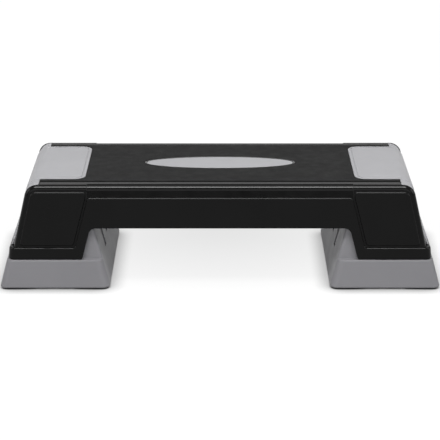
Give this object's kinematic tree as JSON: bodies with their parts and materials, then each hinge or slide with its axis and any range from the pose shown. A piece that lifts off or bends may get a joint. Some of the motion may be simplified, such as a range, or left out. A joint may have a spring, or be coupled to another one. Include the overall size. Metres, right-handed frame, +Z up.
{
  "type": "aerobic step platform",
  "caption": "Low exercise step: a black moulded deck with a textured tread, grey end caps and a blank oval plate, on two plug-in grey risers that set its height.",
  "frame": {"origin": "on the floor, under the middle of the step", "axes": "+X along the step, +Y from its front to its back, +Z up"},
  "size_m": [0.68, 0.28, 0.164],
  "materials": {
    "deck_black": "satin moulded polypropylene",
    "tread": "fine non-slip grain, matt",
    "light_grey": "fine moulded grain, satin",
    "riser_grey": "fine moulded grain, satin",
    "pad_rubber": "matt"
  },
  "bodies": {
    "riser_left": {"riser_left": "riser_grey", "riser_pad_left_front_inner": "pad_rubber", "riser_pad_left_front_outer": "pad_rubber", "riser_pad_left_back_inner": "pad_rubber", "riser_pad_left_back_outer": "pad_rubber"},
    "deck": {"deck_shell": "deck_black", "tread_mat": "tread", "badge_plate": "light_grey", "end_cap_left": "light_grey", "deck_pad_left_front": "pad_rubber", "deck_pad_left_back": "pad_rubber", "end_cap_right": "light_grey", "deck_pad_right_front": "pad_rubber", "deck_pad_right_back": "pad_rubber"},
    "riser_right": {"riser_right": "riser_grey", "riser_pad_right_front_inner": "pad_rubber", "riser_pad_right_front_outer": "pad_rubber", "riser_pad_right_back_inner": "pad_rubber", "riser_pad_right_back_outer": "pad_rubber"}
  },
  "joints": [
    {"name": "deck_lift", "type": "slide", "parent": "riser_left", "child": "deck", "axis": [0, 0, 1], "range_m": [0, 0.095]},
    {"name": "riser_right_release", "type": "slide", "parent": "deck", "child": "riser_right", "axis": [0, 0, -1], "range_m": [0, 0.095]}
  ],
  "couplings": [
    {"joint": "riser_right_release", "follows": "deck_lift", "ratio": 1}
  ]
}
